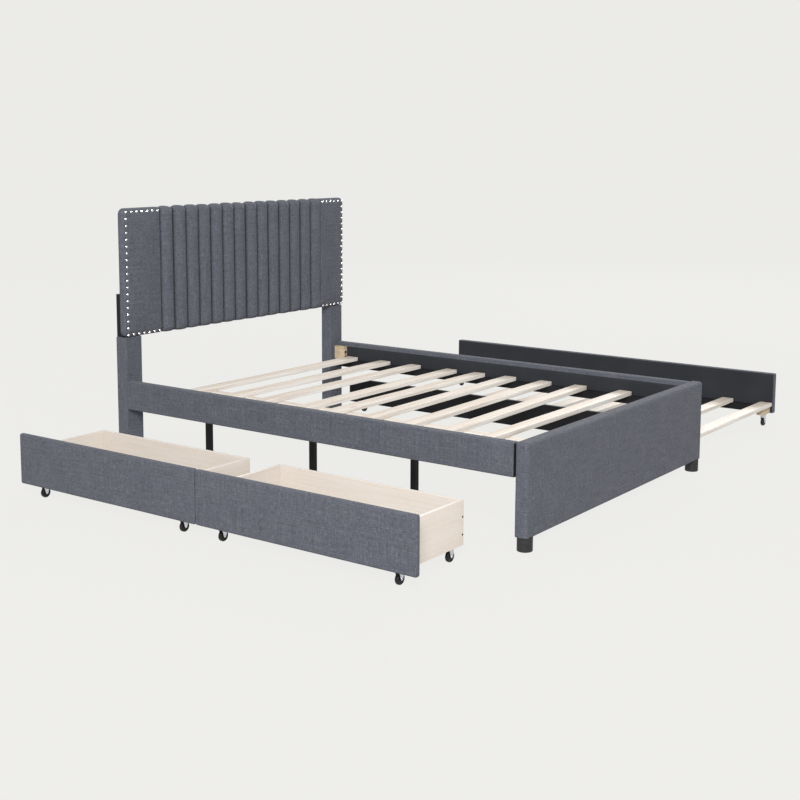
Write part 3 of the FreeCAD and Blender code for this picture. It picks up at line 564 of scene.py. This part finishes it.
def channel_profile(low, high):
    """One row over all channels: X, fullness from 0 at a seam to 1, and both outlines.

    Each channel is stuffed a little more or less than the next, and leans a little.
    """
    pitch = (high.x - low.x) / CHANNELS
    number, column = np.divmod(np.arange(CHANNELS * CHANNEL_COLUMNS + 1), CHANNEL_COLUMNS)
    across = (1 - np.cos(np.pi * column / CHANNEL_COLUMNS)) / 2
    off_middle = np.abs(2 * across - 1)
    fullness = np.clip(1 - off_middle**2, 0, 1) ** 0.75
    random = np.random.default_rng(7)
    strength = random.uniform(0.90, 1.03, CHANNELS + 1)[number]
    lean = random.uniform(-0.05, 0.05, CHANNELS + 1)[number]
    x = low.x + (number + across + lean * fullness) * pitch
    front = low.y + SEAM_DEPTH - SEAM_DEPTH * fullness * strength
    arch = (1 - off_middle**2.2) * strength
    top = high.z - CREST_RISE + (CREST_RISE + 3 * MM) * arch
    seam_distance = np.minimum(across, 1 - across) * pitch
    return x, fullness, front, top, seam_distance


def running_length(path):
    """How far each point of a path is along it."""
    steps = np.linalg.norm(np.diff(path, axis=0), axis=1)
    return np.concatenate([[0.0], np.cumsum(steps)])


def channel_surface(low, high):
    """The fluted pad's surface, how far each point is from a seam, and its grid shape."""
    x, fullness, front, top, seam_distance = channel_profile(low, high)
    back = high.y - BACK_GAP
    bottom = low.z + 2 * MM * (1 - fullness)
    radius = SEAM_CORNER + (CREST_CORNER - SEAM_CORNER) * fullness
    rows = channel_rows()
    points = np.zeros((len(rows), len(x), 3))
    for row, (kind, part) in enumerate(rows):
        y, z = channel_row(kind, part, front, back, bottom, top, radius)
        points[row] = np.stack([x, y, z], -1)
    lengths = running_length(points[:, CHANNEL_COLUMNS // 2])
    widths = running_length(points[len(rows) // 2, :, :2])
    places = np.stack(np.broadcast_arrays(widths[None, :], lengths[:, None]), -1).reshape(-1, 2)
    ids = np.arange(len(places)).reshape(len(rows), len(x))
    quads = np.stack([ids[:-1, :-1], ids[:-1, 1:], ids[1:, 1:], ids[1:, :-1]], -1).reshape(-1, 4)
    surface = Surface(points.reshape(-1, 3), quads, places[quads])
    return surface, np.tile(seam_distance, len(rows)), ids.shape


def seam_wander(points, low, high):
    """How far each point strays sideways, none at the pad's own sides."""
    away_from_sides = ease(np.minimum(points[:, X] - low.x, high.x - points[:, X]) / (20 * MM))
    return SEAM_WANDER * ripple(points * np.array([0.2, 0, 1]), 0.45, 3) * away_from_sides


def seam_gathers(points, seam_distance, low, high):
    """Small puckers beside the seams, strongest near the top and bottom, on uneven stuffing."""
    from_end = np.minimum(points[:, Z] - low.z, high.z - points[:, Z])
    gather = 0.3 + np.exp(-np.clip(from_end, 0, None) / 0.06)
    pucker = np.sin(points[:, Z] * (2 * math.pi / GATHER_SPACING) + 8 * ripple(points, 0.25, 11))
    near_seam = np.exp(-(((seam_distance - 9 * MM) / (7 * MM)) ** 2))
    uneven = 1.0 * MM * ripple(points, 0.15, 5) * ease(seam_distance / 0.02)
    return GATHER_HEIGHT * pucker * near_seam * gather + uneven


def channel_cushion():
    """The fluted pad, its seams pinned while its channels are filled out."""
    low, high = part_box("headboard_channel_cushion")
    surface, seam_distance, grid = channel_surface(low, high)
    points = surface.points
    on_front = ease((low.y + 40 * MM - points[:, Y]) / (15 * MM))
    points[:, X] += seam_wander(points, low, high) * on_front
    surface.push(seam_gathers(points, seam_distance, low, high) * on_front)
    # Painted shade along the seams: strongest at a seam and gone a few millimetres away.
    painted_seam_shade = 0.85 * np.exp(-((seam_distance / SEAM_SHADE_WIDTH) ** 2)) * on_front
    piece = make_piece(
        "channel_cushion", surface, "slate_linen", "bed_frame", ["headboard_channel_cushion"], painted_seam_shade
    )
    pinned = np.zeros(grid, bool)
    pinned[:, ::CHANNEL_COLUMNS] = True
    pinned[:BOTTOM_ROWS] = True
    pinned[-TOP_ROWS:] = True
    puff(piece, pinned.ravel(), 4 * MM)


def nail_centres():
    """Middle of each nail's dome, read from the nails' own mesh."""
    mesh = frame["nodes"]["headboard_nails"].data
    points = mesh_points(mesh)
    front = points[points[:, Y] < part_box("headboard_nails")[0].y + 0.4 * MM]
    centres = []
    for point in front:
        if all(math.hypot(point[X] - x, point[Z] - z) > NAIL_REACH for x, z in centres):
            near = front[np.hypot(front[:, X] - point[X], front[:, Z] - point[Z]) < NAIL_REACH]
            centres.append((near[:, X].mean(), near[:, Z].mean()))
    return centres


def plump_inside(points, low, high, nail_x, seam):
    """How far the pad stands out inside its line of nails: nothing at its rim and seam."""
    inside = np.minimum.reduce([
        np.abs(points[:, X] - nail_x) - NAIL_REACH,
        points[:, Z] - low.z - 20 * MM,
        high.z - 26 * MM - points[:, Z],
        np.abs(points[:, X] - seam),
    ])
    within = (points[:, X] - nail_x) * (seam - nail_x) > 0
    return PAD_PLUMP * ease(inside / (34 * MM)) * within


def nail_dimples(points, centres):
    """The cloth drawn in at each nail, with a faint swell round it."""
    heights = np.zeros(len(points))
    for x, z in centres:
        distance = np.hypot(points[:, X] - x, points[:, Z] - z)
        heights -= NAIL_DIMPLE * np.exp(-((distance / (9 * MM)) ** 2))
        heights += 0.35 * MM * np.exp(-(((distance - 15 * MM) / (6 * MM)) ** 2))
    return heights


def side_pad(side, centres):
    """Flat pad beside the channels: plump inside its line of nails, drawn in at each nail."""
    node = f"headboard_side_pad_{side}"
    low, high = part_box(node)
    if side == "left":
        outer, seam, nail_x, seed = low.x, high.x, low.x + NAIL_INSET, 21
        x_rounding = (PAD_CORNER, PAD_SEAM_CORNER)
    else:
        outer, seam, nail_x, seed = high.x, low.x, high.x - NAIL_INSET, 22
        x_rounding = (PAD_SEAM_CORNER, PAD_CORNER)
    rounding = (x_rounding, (16 * MM, 0), (PAD_CORNER, PAD_CORNER))
    surface = block(low, (high.x, high.y - BACK_GAP, high.z), rounding, 4 * MM, Z, outer)
    points = surface.points
    front = ease((low.y + 12 * MM - points[:, Y]) / (10 * MM))
    heights = plump_inside(points, low, high, nail_x, seam) + nail_dimples(points, centres)
    heights += 0.7 * MM * ripple(points, 0.14, seed)
    points[:, Y] -= heights * front
    piece = make_piece(f"side_pad_{side}", surface, "slate_linen", "bed_frame", [node])
    pinned = (front < 0.5) | (np.abs(points[:, X] - seam) < 8 * MM)
    for x, z in centres:
        pinned |= np.hypot(points[:, X] - x, points[:, Z] - z) < 7 * MM
    puff(piece, pinned, 3 * MM)


def stretched_lining(name, low, high, body, shift, replaced, rounding=0.0):
    """A thin black cloth stapled flat over a board's face."""
    surface = block(low, high, rounding, 12 * MM, Z, shift)
    piece = make_piece(name, surface, "black_cloth", body, replaced)


def headboard_back():
    """The board inside the headboard and the black cloth on its back, with rounded corners."""
    low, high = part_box("headboard_board")
    rounding = ((PAD_CORNER, PAD_CORNER), (0, 0), (PAD_CORNER, PAD_CORNER))
    inset = Vector((2 * MM, 0, 2 * MM))
    core = block(Vector(low) + inset, Vector(high) - inset, rounding, 40 * MM, Z)
    make_piece("headboard_core", core, "board_core", "bed_frame", ["headboard_board"])
    stretched_lining(
        "headboard_back_cloth",
        (low.x + 4 * MM, high.y, low.z + 4 * MM),
        (high.x - 4 * MM, high.y + 1.2 * MM, high.z - 4 * MM),
        "bed_frame", 0.3, ["lining_cloths"], rounding,
    )


# ---------------------------------------------------------------- upholstered frame
TURNED_OVER = 19 * MM        # fabric that comes over a rail's top edge onto its inner face
COVER_SPACING = 8 * MM       # grid spacing of a cover
THIN_SIDE = 80 * MM          # a side no longer than this is a cover's thickness


def from_edges(points, low, high):
    """How far each point is from the nearest edge of the cover's broad faces."""
    broad = [axis for axis in (X, Y, Z) if high[axis] - low[axis] > THIN_SIDE]
    return np.minimum.reduce([
        np.minimum(points[:, axis] - low[axis], high[axis] - points[:, axis]) for axis in broad
    ])


def covered(name, node, body, rounding, seed, wave, grain=Z, trim=None, lined=0):
    """Thin foam and cloth pulled over a board, with the slight unevenness of hand work.

    wave is the height of the unevenness, and trim moves the CAD box's low and high corners.
    lined is the direction along X of a side that a lining lies on, which stays flat.
    """
    low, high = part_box(node)
    if trim is not None:
        low = Vector(low) + Vector(trim[0])
        high = Vector(high) + Vector(trim[1])
    surface = block(low, high, rounding, COVER_SPACING, grain, seed * 0.37)
    points = surface.points
    heights = wave * ripple(points, 0.32, seed) + 0.4 * wave * ripple(points, 0.09, seed + 50)
    heights *= 0.35 + 0.65 * ease(from_edges(points, low, high) / 0.03)
    if lined:
        heights *= ease(lined * ((low.x + high.x) / 2 - points[:, X]) / (4 * MM) + 1)
    surface.push(heights)
    piece = make_piece(name, surface, "slate_linen", body, [node])


def leg_covers():
    """The fabric sleeve round each headboard leg."""
    soft = 5 * MM
    for number, side in enumerate(("left", "right")):
        covered(
            f"leg_upholstery_{side}", f"leg_cover_{side}", "bed_frame",
            ((soft, soft), (soft, soft), (2 * MM, 4 * MM)), 31 + number, 0.8 * MM,
        )


def rail_covers():
    """The fabric over each side rail, and the black lining on the rail's inner face."""
    soft = 6 * MM
    for number, side in enumerate(("left", "right")):
        inward = 1 if side == "left" else -1
        node = f"rail_cover_{side}"
        covered(
            f"rail_upholstery_{side}", node, "bed_frame",
            ((soft, soft), (3 * MM, 1 * MM), (soft, soft)), 41 + number, 0.6 * MM,
            grain=Y, trim=((0, 4 * MM, 0), (0, 0, 0)), lined=inward,
        )
        low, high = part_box(node)
        inner_x = high.x if side == "left" else low.x
        low_x, high_x = sorted((inner_x - 0.6 * MM * inward, inner_x + 0.3 * MM * inward))
        stretched_lining(
            f"rail_lining_{side}",
            (low_x, low.y + 4 * MM, low.z + 3 * MM),
            (high_x, high.y - 4 * MM, high.z - TURNED_OVER),
            "bed_frame", 0.7 + number, ["lining_cloths"],
        )


def footboard():
    """The fabric over the footboard, 2.5 mm longer at its drawer-side end than the board."""
    soft = 12 * MM
    covered(
        "footboard_upholstery", "footboard_cover", "bed_frame",
        ((soft, soft), (soft, soft), (4 * MM, soft)), 51, 0.8 * MM,
        grain=Z, trim=((-2.5 * MM, 0, -1.5 * MM), (0, 0, 0)),
    )


def drawer_fronts():
    """The fabric over each drawer's front, and the black lining on its back."""
    for number, side in enumerate(("left", "right")):
        node = f"drawer_{side}_front_cover"
        covered(
            f"drawer_{side}_front_upholstery", node, f"drawer_{side}",
            ((5 * MM, 2 * MM), (6 * MM, 6 * MM), (9 * MM, 9 * MM)), 61 + number, 0.7 * MM,
            grain=Y, trim=((0, 0, 0), (-0.6 * MM, 0, 0)), lined=1,
        )
        low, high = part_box(node)
        rim = 10 * MM
        stretched_lining(
            f"drawer_{side}_front_lining",
            (high.x - 1.0 * MM, low.y + rim, low.z + rim),
            (high.x, high.y - rim, high.z - rim),
            f"drawer_{side}", 1.7 + number, [f"drawer_{side}_front_board"],
        )


def trundle_panel():
    """The fabric over the trundle's panel, and the black lining on its back."""
    node = "trundle_panel_cover"
    covered(
        "trundle_panel_upholstery", node, "trundle",
        ((1 * MM, 6 * MM), (6 * MM, 6 * MM), (3 * MM, 6 * MM)), 71, 0.8 * MM,
        grain=Y, trim=((0.6 * MM, 0, 0), (0, 0, 0)), lined=-1,
    )
    low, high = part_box(node)
    rim = 3 * MM
    stretched_lining(
        "trundle_panel_lining",
        (low.x, low.y + rim, low.z + rim),
        (low.x + 1.0 * MM, high.y - rim, high.z - rim),
        "trundle", 3.1, ["trundle_panel_board"],
    )


# ---------------------------------------------------------------- timber
BOARD_SPACING = 40 * MM      # grid spacing of a board
BED_SLAT_SLANTS = (0.0, 0.033, 0.026, 0.020, 0.0, 0.011, 0.0, 0.0, 0.0)    # from the foot end
TRUNDLE_SLAT_SLANTS = (0.0,) * 10


def board(name, low, high, body, slot, grain, number, replaced, soften=1.2 * MM):
    """A planed board with eased edges; number makes its grain differ from the others'."""
    surface = block(low, high, soften, BOARD_SPACING, grain, number * 1.37)
    make_piece(name, surface, slot, body, replaced)


def slat(name, low, high, body, number, replaced, bow, slant):
    """A slat along X that sags by half its bow.

    slant is how far its low-X end is nudged towards the foot for each metre of its length.
    """
    surface = block(low, high, 1.5 * MM, BOARD_SPACING, X, number * 1.37)
    points = surface.points
    if bow:
        middle = (low[X] + high[X]) / 2
        half = (high[X] - low[X]) / 2
        points[:, Z] -= 0.5 * bow * (1 - ((points[:, X] - middle) / half) ** 2)
        points[:, Z] -= 0.3 * MM * (1 + ripple(points * np.array([1, 0, 0]), 0.9, number))
    points[:, Y] -= slant * (high[X] - points[:, X])
    make_piece(name, surface, "pine", body, replaced)


def solid_boxes(node):
    """The box of each separate solid in a node, in order along Y and then X."""
    mesh = frame["nodes"][node].data
    points = mesh_points(mesh)
    parent = list(range(len(points)))

    def root(index):
        while parent[index] != index:
            parent[index] = parent[parent[index]]
            index = parent[index]
        return index

    same = {}
    for index, point in enumerate(points):
        key = tuple(np.round(point / (0.05 * MM)).astype(int))
        parent[root(index)] = root(same.setdefault(key, index))
    for edge in mesh.edges:
        first, second = edge.vertices
        parent[root(first)] = root(second)
    groups = {}
    for index in range(len(points)):
        groups.setdefault(root(index), []).append(index)
    boxes = []
    for members in groups.values():
        chosen = points[members]
        boxes.append((Vector(chosen.min(0)), Vector(chosen.max(0))))
    return sorted(boxes, key=lambda pair: (round(pair[0].y, 3), round(pair[0].x, 3)))


def slats():
    """The loose slats: a few of the bed's lie slightly askew."""
    for node, name, body, slants in (
        ("bed_slats", "bed_slat", "bed_frame", BED_SLAT_SLANTS),
        ("trundle_slats", "trundle_slat", "trundle", TRUNDLE_SLAT_SLANTS),
    ):
        for number, ((low, high), slant) in enumerate(zip(solid_boxes(node), slants)):
            bow = 1.0 * MM if number % 3 else 0.0
            seed = 3 + number + len(name)
            slat(f"{name}_{number + 1:02d}", low, high, body, seed, [node], bow, slant)


def beam():
    """The pine beam under the slats' middles."""
    low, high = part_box("centre_beam")
    board("centre_beam_timber", low, high, "bed_frame", "pine", Y, 77, ["centre_beam"])


def drawer_boxes():
    """The plywood sides, back and floor of both drawers."""
    grains = {"side_near": X, "side_far": X, "back": Y, "floor": Y}
    for side_number, side in enumerate(("left", "right")):
        for number, (part, grain) in enumerate(grains.items()):
            node = f"drawer_{side}_{part}"
            low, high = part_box(node)
            board(
                f"{node}_ply", low, high, f"drawer_{side}", "plywood", grain,
                20 + 7 * side_number + number, [node], 0.8 * MM,
            )


# ---------------------------------------------------------------- studio
PALE = (0.836, 0.831, 0.812)     # the backdrop's colour
FLOOR_GLOW = 0.98                # share of the floor's brightness that shadows can't take
FLOOR_TONE = 1 - FLOOR_GLOW      # the rest, so the lit floor meets the backdrop unseen
FLOOR_HALF = 60.0                # half the floor's side, in metres

# Places in metres from the floor under the bed's middle, and powers in watts.
FILL_PLACE, FILL_TARGET, FILL_SIZE, FILL_POWER = (8.0, 1.5, 5.2), (0.5, 0, 0.3), 2.5, 500
KEY_PLACE, KEY_TARGET, KEY_SIZE, KEY_POWER = (-7.4, -5.2, 5.2), (-0.4, -0.4, 0.3), 3.2, 1600

CAMERA_PLACE = (-4.4790, -3.2091, 1.3899)
CAMERA_AZIMUTH = -53.9           # degrees
CAMERA_ELEVATION = 7.7
CAMERA_ROLL = 0.2
CAMERA_LENS = 58.97              # millimetres, on a sensor 36 mm wide
CAMERA_SHIFT = -0.10


def bed_middle():
    """The point on the floor under the middle of the bed frame."""
    board_low, board_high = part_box("headboard_board")
    rail_low, rail_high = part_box("side_rail_left")
    return Vector(((board_low.x + board_high.x) / 2, (rail_low.y + rail_high.y) / 2, 0))


def studio_floor():
    """A seamless pale floor that glows a little, so the object's shadow stays faint."""
    mesh = bpy.data.meshes.new("studio_floor")
    half = FLOOR_HALF
    corners = [(-half, -half, 0), (half, -half, 0), (half, half, 0), (-half, half, 0)]
    mesh.from_pydata(corners, [], [(0, 1, 2, 3)])
    nodes = Nodes("studio_floor")
    mottle = nodes.noise(nodes.spot((0.6, 0.6, 0.6)), 2.0)
    low = tuple(0.98 * FLOOR_TONE * channel for channel in PALE)
    high = tuple(1.02 * FLOOR_TONE * channel for channel in PALE)
    colour = nodes.ramp(mottle, (0.3, low), (0.7, high))
    nodes.finish(colour, 0.95, Specular_IOR_Level=0.0, Emission_Strength=FLOOR_GLOW)
    nodes.shader.inputs["Emission Color"].default_value = (*PALE, 1)
    mesh.materials.append(nodes.material)
    floor = bpy.data.objects.new("studio_floor", mesh)
    bpy.context.scene.collection.objects.link(floor)


def soft_box(name, place, target, size, power):
    """A square area light, placed and aimed from the floor under the bed's middle."""
    light = bpy.data.lights.new(name, "AREA")
    light.energy = power
    light.size = size
    lamp = bpy.data.objects.new(name, light)
    lamp.location = bed_middle() + Vector(place)
    lamp.rotation_euler = (Vector(target) - Vector(place)).to_track_quat("-Z", "Y").to_euler()
    bpy.context.scene.collection.objects.link(lamp)


def studio_light():
    """An even pale surround, a key light over the drawers' side and a fill light opposite."""
    world = bpy.data.worlds.new("studio")
    world.use_nodes = True
    background = world.node_tree.nodes["Background"]
    background.inputs["Color"].default_value = (*PALE, 1)
    background.inputs["Strength"].default_value = 1.0
    bpy.context.scene.world = world
    soft_box("fill_light", FILL_PLACE, FILL_TARGET, FILL_SIZE, FILL_POWER)
    soft_box("key_light", KEY_PLACE, KEY_TARGET, KEY_SIZE, KEY_POWER)


def camera_turn():
    """The camera's right, up and backward directions as a turning matrix."""
    azimuth = math.radians(CAMERA_AZIMUTH)
    elevation = math.radians(CAMERA_ELEVATION)
    roll = math.radians(CAMERA_ROLL)
    back = Vector((
        math.sin(azimuth) * math.cos(elevation),
        -math.cos(azimuth) * math.cos(elevation),
        math.sin(elevation),
    ))
    level_right = Vector((0, 0, 1)).cross(back).normalized()
    level_up = back.cross(level_right)
    right = level_right * math.cos(roll) + level_up * math.sin(roll)
    up = level_up * math.cos(roll) - level_right * math.sin(roll)
    return Matrix((right, up, back)).transposed().to_4x4()


def studio_camera():
    """A long lens at eye height, looking down the bed from its foot and drawer side."""
    data = bpy.data.cameras.new("camera")
    data.sensor_width = 36.0
    data.lens = CAMERA_LENS
    data.shift_y = CAMERA_SHIFT
    data.clip_end = 200
    camera = bpy.data.objects.new("camera", data)
    camera.matrix_world = Matrix.Translation(bed_middle() + Vector(CAMERA_PLACE)) @ camera_turn()
    bpy.context.scene.collection.objects.link(camera)
    bpy.context.scene.camera = camera


# ---------------------------------------------------------------- build
finish_cad_nodes()
channel_cushion()
nail_middles = nail_centres()
side_pad("left", nail_middles)
side_pad("right", nail_middles)
headboard_back()
leg_covers()
rail_covers()
footboard()
drawer_fronts()
trundle_panel()
slats()
beam()
drawer_boxes()
studio_floor()
studio_light()
studio_camera()
bpy.context.scene.view_settings.view_transform = "Standard"
